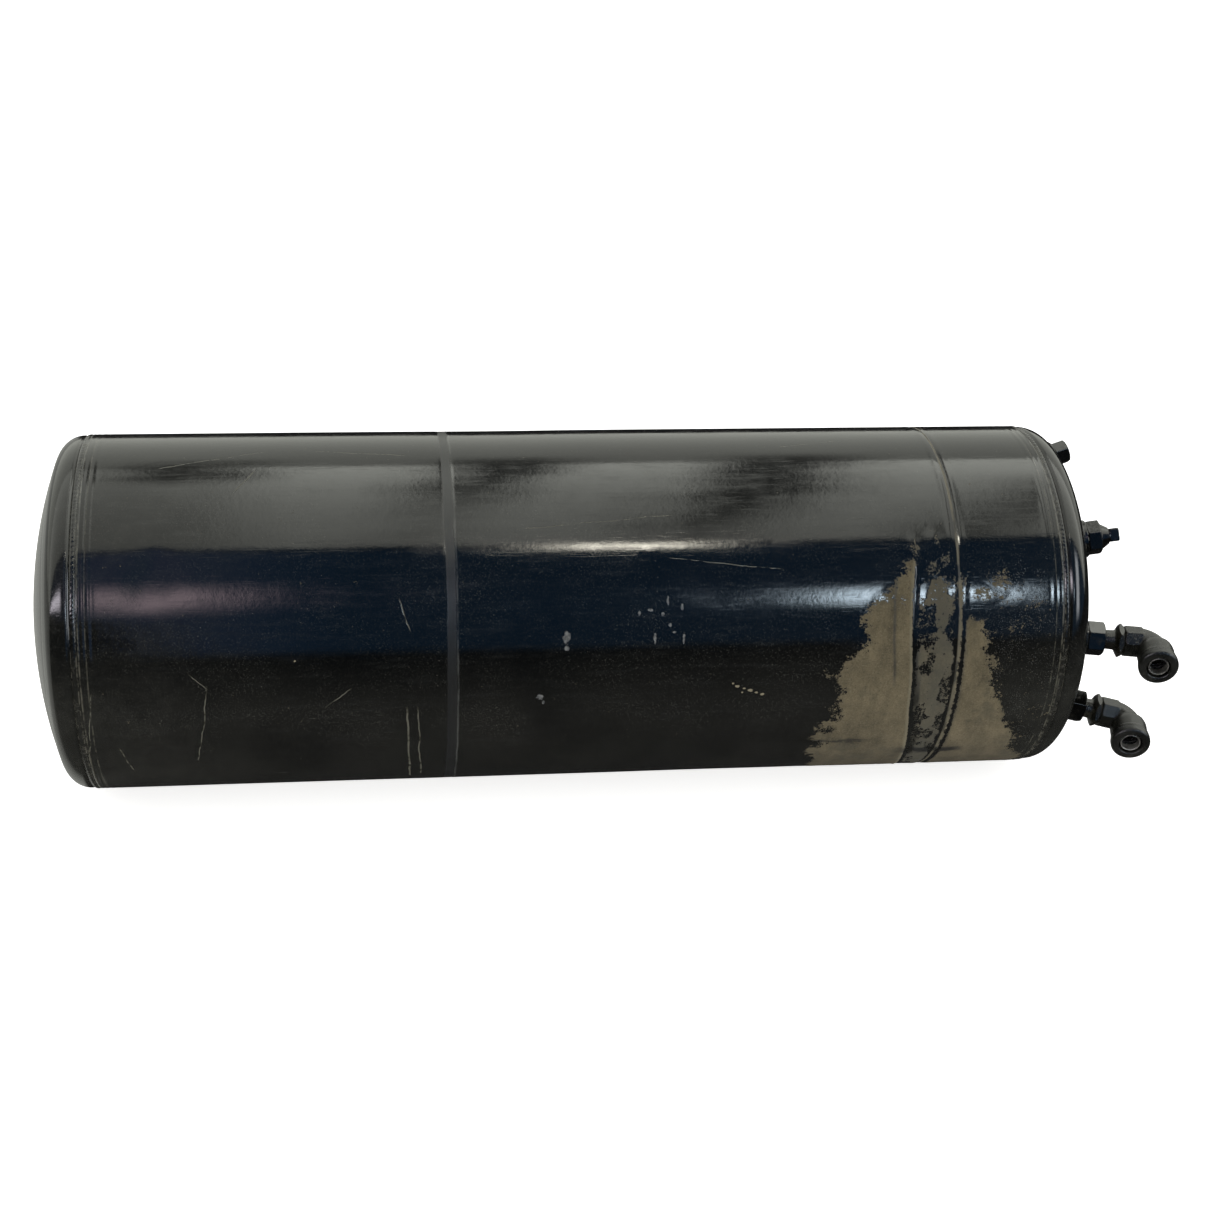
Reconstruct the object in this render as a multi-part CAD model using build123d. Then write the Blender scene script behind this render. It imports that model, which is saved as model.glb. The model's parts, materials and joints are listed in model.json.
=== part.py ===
from build123d import *
import math
import os

# Painted steel compressed-air reservoir, lying on its side.
# Millimetres.  X runs along the tank axis with the port end at +X, +Z is up,
# the origin is on the tank axis half way between the two head seams.

# ---------------------------------------------------------------- driving sizes
TANK_R = 127.0             # outside radius of the rolled barrel (10 in tank)
WALL = 2.6                 # barrel sheet thickness
HEAD_WALL = 3.0            # pressed head thickness
SEAM_X = 343.05            # head seam from mid-length
CROWN_R = 327.7            # dished crown radius, outside
KNUCKLE_R = 16.6           # knuckle radius, outside
HEAD_R = 126.35            # outside radius of the head at the seam
SKIRT_LEN = 20.0           # joggled skirt that sits inside the barrel
WELD_W = 6.0               # width of the girth welds
BARREL_END = SEAM_X - WELD_W
SEAM_GAP = 3.2             # longitudinal seam gap, filled by weld
SEAM_DEG = -40.0           # where the longitudinal seam lies, from +Y towards +Z

# ports: position of the axis on the dished head, measured across the axis
PORT_YZ = {1: (35.0, 96.5), 2: (-39.4, 66.5), 3: (-64.2, -1.9), 4: (-64.2, -58.2)}
BOSS_R = {1: 11.0, 2: 13.6, 3: 13.6, 4: 13.6}
BOSS_OUT = {1: 7.0, 2: 5.2, 3: 5.2, 4: 5.2}      # boss face above the head
BOSS_IN = 8.0                                    # boss below the head's outside
FILLET_LEG = 3.2                                 # boss weld leg
HALF_NPT_R = 10.55         # 1/2 pipe thread at the boss face
PLUG1_NPT_R = 6.85         # 1/4 pipe thread of the hexagon plug
TAPER = 1.0 / 32.0         # radius change per mm, pipe taper
THREAD_GAP = 0.05

HEX_AF = 22.2              # 7/8 in hexagon of the bushings
BUSH_FRONT = {3: 18.4, 4: 18.4}
BUSH_TURN = {3: 12.0, 4: 26.0}      # how far each bushing's hexagon ended up turned
BUSH2_HEX_FRONT = 15.4
BUSH2_NOSE = 21.2
SQUARE_AF = 9.4            # 3/8 in square drive
SQUARE_END = 28.6
PLUG1_AF = 15.9            # 5/8 in hexagon
PLUG1_END = 17.9

# push-to-connect elbows
FLANGE_Z = {3: 29.5, 4: 27.7}       # middle of the stem's hexagon flange, above the head
ELBOW_ROLL = {3: 4.6, 4: 8.9}       # outlet turned down from the forward direction
FLANGE_AF = 22.0
FLANGE_T = 5.2
NECK_R = 7.3
STEM_NPT_R = 6.85
STEM_BORE_R = 4.6
SPIGOT_R = 7.5
SWIVEL_GAP = 0.06
ELBOW_C = 25.0             # flange middle to outlet axis
OUTLET_L = 31.7            # port axis to outlet face
SOCKET_SHIFT = 0.7         # socket details stand this much further out than their own stations
OCT_AF = 21.4
BEND_R = 12.0
BEND_TUBE_R = 10.5
BARREL_R = 13.4
CAP_R = 14.4
CAP_START = 25.4
FACE = OUTLET_L - SOCKET_SHIFT
TUBE_R = 6.45              # socket wall for a 1/2 in (12.7 mm) tube
TUBE_STOP = 9.0
SOCKET_END = 17.3
COLLET_TIP = 29.3
COLLET_R = 7.2

os.makedirs("parts", exist_ok=True)


# ---------------------------------------------------------------- helpers
def revolve_pts(pts, axis="Z"):
    """Solid of revolution from a closed (r, h) profile about Z, or about X."""
    if axis == "Z":
        plane = Plane.XZ
        face = plane * make_face(Polyline(*[(r, h) for r, h in pts], close=True))
        return revolve(face, Axis.Z, 360)
    face = Plane.XY * make_face(Polyline(*[(h, r) for r, h in pts], close=True))
    return revolve(face, Axis.X, 360)


def ring(r_in, r_out, z0, z1):
    return revolve_pts([(r_in, z0), (r_out, z0), (r_out, z1), (r_in, z1)])


def cyl(r, z0, z1):
    return Pos(0, 0, z0) * Cylinder(r, z1 - z0, align=(Align.CENTER, Align.CENTER, Align.MIN))


def cone(r0, r1, z0, z1):
    return revolve_pts([(0, z0), (r0, z0), (r1, z1), (0, z1)])


def hex_prism(af, z0, z1, turn=0.0, sides=6):
    pts = [(af / 2 / math.cos(math.pi / sides) * math.cos(math.radians(turn) + 2 * math.pi * i / sides),
            af / 2 / math.cos(math.pi / sides) * math.sin(math.radians(turn) + 2 * math.pi * i / sides))
           for i in range(sides)]
    face = Plane.XY.offset(z0) * make_face(Polyline(*pts, close=True))
    return extrude(face, z1 - z0)


def save(name, shape):
    solids = shape.solids()
    shape = solids[0] if len(solids) == 1 else Compound(children=list(solids))
    export_step(shape, "parts/" + name + ".step")


# ---------------------------------------------------------------- head profile
def head_outline(r_off, n=None):
    """Outer (r_off=0) or inner meridian of the dished end as (x, r) key points."""
    rc = CROWN_R - r_off
    rk = KNUCKLE_R - r_off
    rh = HEAD_R - r_off
    kc_r = HEAD_R - KNUCKLE_R                    # knuckle centre radius
    kc_x = SEAM_X + 0.6                          # knuckle centre station
    d = math.sqrt((CROWN_R - KNUCKLE_R) ** 2 - kc_r ** 2)
    cc_x = kc_x - d                              # crown centre station
    a = math.atan2(kc_r, d)                      # tangent angle from the axis
    return rc, rk, rh, kc_r, kc_x, cc_x, a


def head_face():
    rc, rk, rh, kc_r, kc_x, cc_x, a = head_outline(0)
    rci, rki, rhi, _, _, _, _ = head_outline(HEAD_WALL)
    # outer meridian from the apex to the seam, joggle, skirt, then back inside
    sk_r = TANK_R - WALL
    tan_o = (cc_x + rc * math.cos(a), rc * math.sin(a))
    tan_i = (cc_x + rci * math.cos(a), rci * math.sin(a))
    mid_o = (cc_x + rc * math.cos(a / 2), rc * math.sin(a / 2))
    mid_i = (cc_x + rci * math.cos(a / 2), rci * math.sin(a / 2))
    b = (a + math.pi / 2) / 2
    kmid_o = (kc_x + rk * math.cos(b), kc_r + rk * math.sin(b))
    kmid_i = (kc_x + rki * math.cos(b), kc_r + rki * math.sin(b))
    top_o = (kc_x, kc_r + rk)
    top_i = (kc_x, kc_r + rki)
    jog = SEAM_X - WELD_W
    lines = [
        Line((cc_x + rci, 0), (cc_x + rc, 0)),
        ThreePointArc((cc_x + rc, 0), mid_o, tan_o),
        ThreePointArc(tan_o, kmid_o, top_o),
        Line(top_o, (SEAM_X - 0.6, HEAD_R - 0.9)),
        Line((SEAM_X - 0.6, HEAD_R - 0.9), (jog, sk_r)),
        Line((jog, sk_r), (SEAM_X - SKIRT_LEN, sk_r)),
        Line((SEAM_X - SKIRT_LEN, sk_r), (SEAM_X - SKIRT_LEN, sk_r - HEAD_WALL)),
        Line((SEAM_X - SKIRT_LEN, sk_r - HEAD_WALL), (jog, sk_r - HEAD_WALL)),
        Line((jog, sk_r - HEAD_WALL), top_i),
        ThreePointArc(top_i, kmid_i, tan_i),
        ThreePointArc(tan_i, mid_i, (cc_x + rci, 0)),
    ]
    return make_face(Curve() + lines)


def head_fill_face():
    rc, rk, rh, kc_r, kc_x, cc_x, a = head_outline(0)
    tan_o = (cc_x + rc * math.cos(a), rc * math.sin(a))
    mid_o = (cc_x + rc * math.cos(a / 2), rc * math.sin(a / 2))
    b = (a + math.pi / 2) / 2
    kmid_o = (kc_x + rk * math.cos(b), kc_r + rk * math.sin(b))
    top_o = (kc_x, kc_r + rk)
    lines = [
        Line((SEAM_X - 60, 0), (cc_x + rc, 0)),
        ThreePointArc((cc_x + rc, 0), mid_o, tan_o),
        ThreePointArc(tan_o, kmid_o, top_o),
        Line(top_o, (SEAM_X - 60, HEAD_R)),
        Line((SEAM_X - 60, HEAD_R), (SEAM_X - 60, 0)),
    ]
    return make_face(Curve() + lines)


_, _, _, _, _, CROWN_CX, _ = head_outline(0)


def port_frame(k, x_dir=None):
    """Plane with its origin on the crown and its Z along the port axis."""
    y, z = PORT_YZ[k]
    x = CROWN_CX + math.sqrt(CROWN_R ** 2 - y * y - z * z)
    n = Vector(x - CROWN_CX, y, z).normalized()
    fwd = Vector(0, -1, 0) - n * Vector(0, -1, 0).dot(n)
    fwd = fwd.normalized()
    down = Vector(0, 0, -1)
    down = (down - n * down.dot(n))
    down = (down - fwd * down.dot(fwd)).normalized()
    roll = math.radians(ELBOW_ROLL.get(k, 0.0))
    xd = fwd * math.cos(roll) + down * math.sin(roll)
    return Plane(origin=(x, y, z), x_dir=xd, z_dir=n)


# ---------------------------------------------------------------- barrel
tube = revolve_pts([(TANK_R - WALL, -BARREL_END), (TANK_R, -BARREL_END),
                    (TANK_R, BARREL_END), (TANK_R - WALL, BARREL_END)], "X")
gap_box = Box(2 * BARREL_END + 2, 10, SEAM_GAP)
gap = Rot(SEAM_DEG, 0, 0) * (Pos(0, TANK_R - WALL / 2, 0) * gap_box)
barrel = tube - gap
save("barrel_shell", barrel)

# longitudinal seam weld: ground flush outside, a low crown inside
seam_fill = tube & gap
crown = Rot(SEAM_DEG, 0, 0) * (Pos(0, TANK_R - WALL - 0.35, 0)
                               * Box(2 * (SEAM_X - SKIRT_LEN - 1.0), 1.1, SEAM_GAP - 0.6))
seam_weld = seam_fill + crown
save("barrel_seam_weld", seam_weld)

# ---------------------------------------------------------------- heads
head_solid = revolve(head_face(), Axis.X, 360)
head_fill = revolve(head_fill_face(), Axis.X, 360)
left_head = head_solid.mirror(Plane.YZ)
save("left_head", left_head)

holes = []
for k in PORT_YZ:
    holes.append(port_frame(k).location * cyl(BOSS_R[k], -BOSS_IN - 12, 14))
right_head = head_solid
for h in holes:
    right_head = right_head - h
save("right_head", right_head)

# girth welds: a low bead lying in the joggle, with a valley on each side
def girth_weld():
    x0 = BARREL_END
    sk = TANK_R - WALL
    r0 = TANK_R
    slope = (HEAD_R - 0.9 - sk) / (WELD_W - 0.6)
    pts = [(x0, sk), (x0, r0 - 0.5), (x0 + 0.5, r0 - 0.75), (x0 + 1.2, r0 - 0.25), (x0 + 2.2, r0 - 0.03),
           (x0 + 3.2, r0 - 0.12), (x0 + 4.0, r0 - 0.6), (x0 + 4.6, r0 - 1.15), (x0 + 5.1, sk + slope * 5.1)]
    return revolve(make_face(Polyline(*pts, close=True)), Axis.X, 360)


gw = girth_weld()
save("right_head_weld", gw)
save("left_head_weld", gw.mirror(Plane.YZ))

# ---------------------------------------------------------------- port bosses
boss_welds = []
for k in PORT_YZ:
    loc = port_frame(k).location
    rb, top = BOSS_R[k], BOSS_OUT[k]
    rt = PLUG1_NPT_R if k == 1 else HALF_NPT_R
    body = revolve_pts([(rt + THREAD_GAP - (top + BOSS_IN) * TAPER, -BOSS_IN), (rb, -BOSS_IN), (rb, top - 0.6),
                        (rb - 0.6, top), (rt + THREAD_GAP, top)])
    save("port_boss_%d" % k, loc * body)
    leg = FILLET_LEG
    bead = revolve_pts([(rb, -14), (rb + leg + 0.9, -14), (rb + leg + 0.9, 0.0), (rb + leg * 0.8, 0.35),
                        (rb + leg * 0.35, leg * 0.42), (rb + 0.15, leg * 0.95), (rb, leg * 0.95)])
    bead = (loc * bead) - head_fill
    keep = sorted(bead.solids(), key=lambda s: -s.volume)[0]
    boss_welds.append(keep)
save("port_boss_welds", Compound(children=boss_welds))

# ---------------------------------------------------------------- port 1: hexagon head plug
loc = port_frame(1).location
top = BOSS_OUT[1]
shank = revolve_pts([(0, -5.0), (PLUG1_NPT_R - (top + 5.0) * TAPER - 0.8, -5.0),
                     (PLUG1_NPT_R - (top + 4.2) * TAPER, -4.2), (PLUG1_NPT_R, top), (PLUG1_NPT_R, top + 0.6),
                     (0, top + 0.6)])
hexh = hex_prism(PLUG1_AF, top + 0.6, PLUG1_END, 20)
cham = revolve_pts([(0, top + 0.6), (PLUG1_AF * 0.56, top + 0.6), (PLUG1_AF * 0.6, top + 1.4), (PLUG1_AF * 0.6, PLUG1_END - 1.3),
                    (PLUG1_AF * 0.49, PLUG1_END), (0, PLUG1_END)])
save("hexagon_plug", loc * (shank + (hexh & cham)))

# ---------------------------------------------------------------- port 2: nosed bushing and square plug
loc = port_frame(2).location
top = BOSS_OUT[2]
sq_r = 5.1


def half_npt_shank(top, deep):
    r1 = HALF_NPT_R
    return revolve_pts([(0, -deep), (r1 - (top + deep) * TAPER - 0.8, -deep), (r1 - (top + deep - 0.8) * TAPER, -deep + 0.8),
                        (r1, top), (r1, top + 0.5), (0, top + 0.5)])


hexb = hex_prism(HEX_AF, top + 0.5, BUSH2_HEX_FRONT, 14)
ch = revolve_pts([(0, top + 0.5), (HEX_AF * 0.535, top + 0.5), (HEX_AF * 0.59, top + 1.7), (HEX_AF * 0.59, BUSH2_HEX_FRONT - 1.3),
                  (HEX_AF * 0.47, BUSH2_HEX_FRONT), (0, BUSH2_HEX_FRONT)])
nose = cone(9.6, 5.95, BUSH2_HEX_FRONT, BUSH2_NOSE)
bush2 = half_npt_shank(top, 6.5) + (hexb & ch) + nose
bore2 = revolve_pts([(0, -7), (4.2, -7), (4.2, 9.0), (sq_r + THREAD_GAP - (BUSH2_NOSE - 10) * TAPER, 10.0),
                     (sq_r + THREAD_GAP, BUSH2_NOSE), (sq_r + THREAD_GAP, BUSH2_NOSE + 1), (0, BUSH2_NOSE + 1)])
save("nosed_bushing", loc * (bush2 - bore2))
sq = hex_prism(SQUARE_AF, BUSH2_NOSE + 0.7, SQUARE_END, 17, sides=4)
sqc = revolve_pts([(0, BUSH2_NOSE + 0.7), (6.4, BUSH2_NOSE + 0.7), (6.4, SQUARE_END - 0.9), (5.3, SQUARE_END), (0, SQUARE_END)])
sq_shank = revolve_pts([(0, 11.2), (sq_r - (BUSH2_NOSE - 11.2) * TAPER - 0.5, 11.2), (sq_r - (BUSH2_NOSE - 11.7) * TAPER, 11.7),
                        (sq_r, BUSH2_NOSE), (sq_r - 0.2, BUSH2_NOSE + 0.7), (0, BUSH2_NOSE + 0.7)])
save("square_head_plug", loc * (sq_shank + (sq & sqc)))

# ---------------------------------------------------------------- ports 3 and 4: elbows
for k in (3, 4):
    loc = port_frame(k).location
    top = BOSS_OUT[k]
    front = BUSH_FRONT[k]
    zf = FLANGE_Z[k]
    # hexagon bushing, 1/2 to 1/4 pipe thread
    hexb = hex_prism(HEX_AF, top + 0.5, front, BUSH_TURN[k] - ELBOW_ROLL[k])
    ch = revolve_pts([(0, top + 0.5), (HEX_AF * 0.535, top + 0.5), (HEX_AF * 0.59, top + 1.7), (HEX_AF * 0.59, front - 1.9),
                      (HEX_AF * 0.565, front - 1.2), (HEX_AF * 0.52, front - 0.5), (HEX_AF * 0.45, front), (0, front)])
    bush = half_npt_shank(top, 6.5) + (hexb & ch)
    bore = revolve_pts([(0, -7), (5.6, -7), (5.6, 4.0), (STEM_NPT_R + THREAD_GAP, 4.6), (STEM_NPT_R + THREAD_GAP, front + 1),
                        (0, front + 1)])
    save("elbow_bushing_%d" % k, loc * (bush - bore))

    # stem: pipe thread, waisted neck, pointed hexagon flange, swivel spigot
    f0, f1 = zf - FLANGE_T / 2, zf + FLANGE_T / 2
    t0 = f0 - 17.0
    thread_top = min(front + 1.2, f0 - 3.2)
    stem = revolve_pts([(0, t0), (STEM_NPT_R - 0.95, t0), (STEM_NPT_R - 0.4, t0 + 1.0), (STEM_NPT_R, thread_top - 1.6),
                        (NECK_R - 0.25, thread_top), (NECK_R, f0 - 1.4), (NECK_R + 0.5, f0 - 0.6), (NECK_R + 1.6, f0), (0, f0)])
    flange = hex_prism(FLANGE_AF, f0, f1, 11 - ELBOW_ROLL[k])
    fch = revolve_pts([(0, f0), (NECK_R + 1.6, f0), (FLANGE_AF * 0.585, zf - 0.25), (FLANGE_AF * 0.585, zf + 0.25),
                       (10.6, f1), (0, f1)])
    g_o0, g_o1 = f1 + 5.6, f1 + 8.0             # O-ring groove
    g_s0, g_s1 = f1 + 10.2, f1 + 11.3           # snap ring groove
    sp_end = f1 + 12.9
    spig = revolve_pts([(0, f1), (SPIGOT_R, f1), (SPIGOT_R, g_o0), (5.75, g_o0), (5.75, g_o1), (SPIGOT_R, g_o1),
                        (SPIGOT_R, g_s0), (6.5, g_s0), (6.5, g_s1), (SPIGOT_R, g_s1), (SPIGOT_R, sp_end - 0.6),
                        (SPIGOT_R - 0.6, sp_end), (0, sp_end)])
    stem = stem + (flange & fch) + spig - cyl(STEM_BORE_R, t0 - 1, sp_end + 1)
    save("elbow_stem_%d" % k, loc * stem)

    zo = (g_o0 + g_o1) / 2
    oring = Pos(0, 0, zo) * Torus(6.5, 0.7)
    save("stem_o_ring_%d" % k, loc * oring)

    snap = ring(6.55, 8.3, g_s0 + 0.1, g_s1 - 0.1)
    snap = snap - Pos(-7.5, 0, (g_s0 + g_s1) / 2) * Box(4, 3.0, 3)
    save("stem_snap_ring_%d" % k, loc * snap)

    # elbow body, outlet along local X at height zc
    zc = zf + ELBOW_C
    b0 = f1 + 0.35
    oct_end = zc - BEND_R + 6.0
    straight = hex_prism(OCT_AF, b0, oct_end, 22.5, sides=8)
    sch = revolve_pts([(0, b0), (10.2, b0), (11.2, b0 + 0.9), (11.62, b0 + 1.6), (11.62, oct_end - 3.6), (8.6, oct_end), (0, oct_end)])
    straight = straight & sch
    core = cyl(BEND_TUBE_R, b0 + 3, zc - BEND_R)
    # quarter torus from the port axis round to the outlet axis
    bend_c = Plane(origin=(BEND_R, 0, zc - BEND_R), x_dir=(-1, 0, 0), z_dir=(0, 1, 0))
    prof = Plane(origin=(0, 0, zc - BEND_R), z_dir=(0, 0, 1)) * Circle(BEND_TUBE_R)
    bend = revolve(prof, Axis((BEND_R, 0, zc - BEND_R), (0, 1, 0)), 90)
    # socket barrel about the outlet axis
    barrel_pts = [(0, 6.0), (9.0, 6.0), (11.4, 7.3), (12.7, 9.4), (13.25, 12.0), (BARREL_R, 14.0), (BARREL_R, 21.6), (13.9, 22.2),
                  (13.9, 24.7), (13.3, 25.0), (0, 25.0)]
    out_loc = Plane(origin=(SOCKET_SHIFT, 0, zc), x_dir=(0, 1, 0), z_dir=(1, 0, 0)).location
    sock = out_loc * revolve_pts(barrel_pts)
    body = straight + core + bend + sock
    # inside: swivel bore, ring grooves, flow passage, socket and counterbores
    bore_r = SPIGOT_R + SWIVEL_GAP
    cut1 = revolve_pts([(0, b0 - 1), (bore_r, b0 - 1), (bore_r, g_s0 - 0.35), (8.75, g_s0 - 0.35), (8.75, g_s1 + 0.35),
                        (bore_r, g_s1 + 0.35), (bore_r, sp_end + 0.4), (STEM_BORE_R, sp_end + 0.4), (STEM_BORE_R, zc), (0, zc)])
    ballcut = Pos(0, 0, zc) * Sphere(STEM_BORE_R)
    cut2 = out_loc * revolve_pts([(0, -SOCKET_SHIFT), (STEM_BORE_R, -SOCKET_SHIFT), (STEM_BORE_R, TUBE_STOP), (TUBE_R + 0.3, TUBE_STOP),
                                  (TUBE_R + 0.3, TUBE_STOP + 0.4), (TUBE_R, TUBE_STOP + 0.4), (TUBE_R, SOCKET_END),
                                  (9.15, SOCKET_END), (9.15, 20.5), (10.6, 20.5), (10.6, 22.0), (11.6, 22.0), (11.6, 26.0),
                                  (0, 26.0)])
    body = body - cut1 - cut2 - ballcut
    save("elbow_body_%d" % k, loc * body)

    tor = out_loc * (Pos(0, 0, 19.0) * Torus(7.8, 1.3))
    save("tube_o_ring_%d" % k, loc * tor)

    # toothed grab ring: a shallow cone with slots
    grab = revolve_pts([(6.5, 20.75), (6.9, 20.6), (9.0, 20.9), (10.4, 20.9), (10.4, 21.4), (8.8, 21.4), (6.5, 21.15)])
    for i in range(10):
        grab = grab - Rot(0, 0, 36 * i) * (Pos(7.2, 0, 21) * Box(3.0, 0.7, 2.0))
    save("grab_ring_%d" % k, loc * (out_loc * grab))

    # retainer cap on the end of the socket, pressed into the counterbore
    cap = revolve_pts([(9.9, 22.05), (11.55, 22.05), (11.55, CAP_START - 0.35), (13.1, CAP_START - 0.35), (13.1, CAP_START),
                       (CAP_R, CAP_START), (CAP_R, 28.8), (CAP_R - 0.3, 29.7), (CAP_R - 1.0, 30.45), (CAP_R - 2.1, FACE),
                       (9.4, FACE), (8.7, 30.3), (8.7, 25.6), (7.65, 25.6), (7.65, 24.6), (9.9, 24.6)])
    save("retainer_cap_%d" % k, loc * (out_loc * cap))

    # release collet, pushed in against the grab ring to let the tube go
    col = revolve_pts([(TUBE_R + 0.02, 23.0), (9.2, 23.0), (9.5, 23.4), (9.5, 24.4), (COLLET_R, 24.4), (COLLET_R, COLLET_TIP - 0.15),
                       (COLLET_R - 0.2, COLLET_TIP), (TUBE_R + 0.35, COLLET_TIP), (TUBE_R + 0.02, COLLET_TIP - 0.5)])
    save("release_collet_%d" % k, loc * (out_loc * col))

# ---------------------------------------------------------------- figures for the joints and mounts
for k in (3, 4):
    pf = port_frame(k)
    o, n, d = pf.origin, pf.z_dir, pf.x_dir
    zc = FLANGE_Z[k] + ELBOW_C
    c = o + n * zc
    s = c + d * (SOCKET_SHIFT + (TUBE_STOP + 0.4 + SOCKET_END) / 2)
    t = c + d * (SOCKET_SHIFT + COLLET_TIP)
    print("port", k, "pivot", [round(v, 4) for v in c], "axis", [round(v, 6) for v in n], "outlet", [round(v, 6) for v in d],
          "socket", [round(v, 4) for v in s], "tip", [round(v, 4) for v in t])
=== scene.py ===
import json
import math
import bpy
import numpy as np
from mathutils import Vector, Matrix


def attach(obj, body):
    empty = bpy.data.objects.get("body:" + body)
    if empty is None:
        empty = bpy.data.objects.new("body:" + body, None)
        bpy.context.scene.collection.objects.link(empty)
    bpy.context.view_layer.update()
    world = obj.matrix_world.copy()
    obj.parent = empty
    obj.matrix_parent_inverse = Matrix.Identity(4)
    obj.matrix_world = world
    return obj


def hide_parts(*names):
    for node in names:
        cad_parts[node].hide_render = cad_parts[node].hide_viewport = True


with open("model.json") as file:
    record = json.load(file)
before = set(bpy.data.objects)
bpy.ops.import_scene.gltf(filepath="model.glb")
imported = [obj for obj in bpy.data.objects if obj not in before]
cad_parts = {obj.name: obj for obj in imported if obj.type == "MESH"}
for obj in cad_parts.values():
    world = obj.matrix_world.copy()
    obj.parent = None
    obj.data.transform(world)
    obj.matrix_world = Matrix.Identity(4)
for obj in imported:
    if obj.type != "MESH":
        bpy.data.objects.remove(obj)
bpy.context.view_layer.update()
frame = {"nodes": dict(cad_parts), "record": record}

sc = bpy.context.scene
nodes = frame["nodes"]

# ------------------------------------------------------------------ sizes (metres)
R = 0.127
SEAM = 0.34305
WELD_W = 0.006
BAR = SEAM - WELD_W
HEAD_R = 0.12635
CROWN = 0.3277
KNUCKLE = 0.0166
PORT_YZ = {1: (0.0350, 0.0965), 2: (-0.0394, 0.0665), 3: (-0.0642, -0.0019), 4: (-0.0642, -0.0582)}
BOSS_R = {1: 0.0110, 2: 0.0136, 3: 0.0136, 4: 0.0136}
KC_R = HEAD_R - KNUCKLE
KC_X = SEAM + 0.0006
CC_X = KC_X - math.sqrt((CROWN - KNUCKLE) ** 2 - KC_R ** 2)
KN_A = math.atan2(KC_R, KC_X - CC_X)
ELEV = math.radians(30.0)


# ------------------------------------------------------------------ camera
def tilt(v):
    """From the camera's level frame to the row frame, which is turned about X."""
    x, y, z = v
    c, s = math.cos(ELEV), math.sin(ELEV)
    return Vector((x, y * c + z * s, -y * s + z * c))


def make_camera():
    cx, dist, yaw, pitch, roll, f = -1.2093816, 11.343101, 0.12706021, -0.0031215948, -0.020404514, 1951.36527
    fwd = Vector((math.sin(yaw) * math.cos(pitch), math.cos(yaw) * math.cos(pitch), math.sin(pitch)))
    right = Vector((math.cos(yaw), -math.sin(yaw), 0.0))
    up = right.cross(fwd)
    r2 = math.cos(roll) * right + math.sin(roll) * up
    u2 = -math.sin(roll) * right + math.cos(roll) * up
    data = bpy.data.cameras.new("camera")
    data.sensor_fit = "HORIZONTAL"
    data.sensor_width = 36.0
    data.lens = 36.0 * f / 1214.0
    data.clip_start, data.clip_end = 0.05, 60.0
    cam = bpy.data.objects.new("camera", data)
    sc.collection.objects.link(cam)
    r, u, b = tilt(r2), tilt(u2), tilt(-fwd)
    loc = tilt(Vector((cx * R, -dist * R, 0.0)))
    cam.matrix_world = Matrix(((r.x, u.x, b.x, loc.x), (r.y, u.y, b.y, loc.y), (r.z, u.z, b.z, loc.z), (0, 0, 0, 1)))
    sc.camera = cam


make_camera()
sc.view_settings.view_transform = "Standard"


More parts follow.
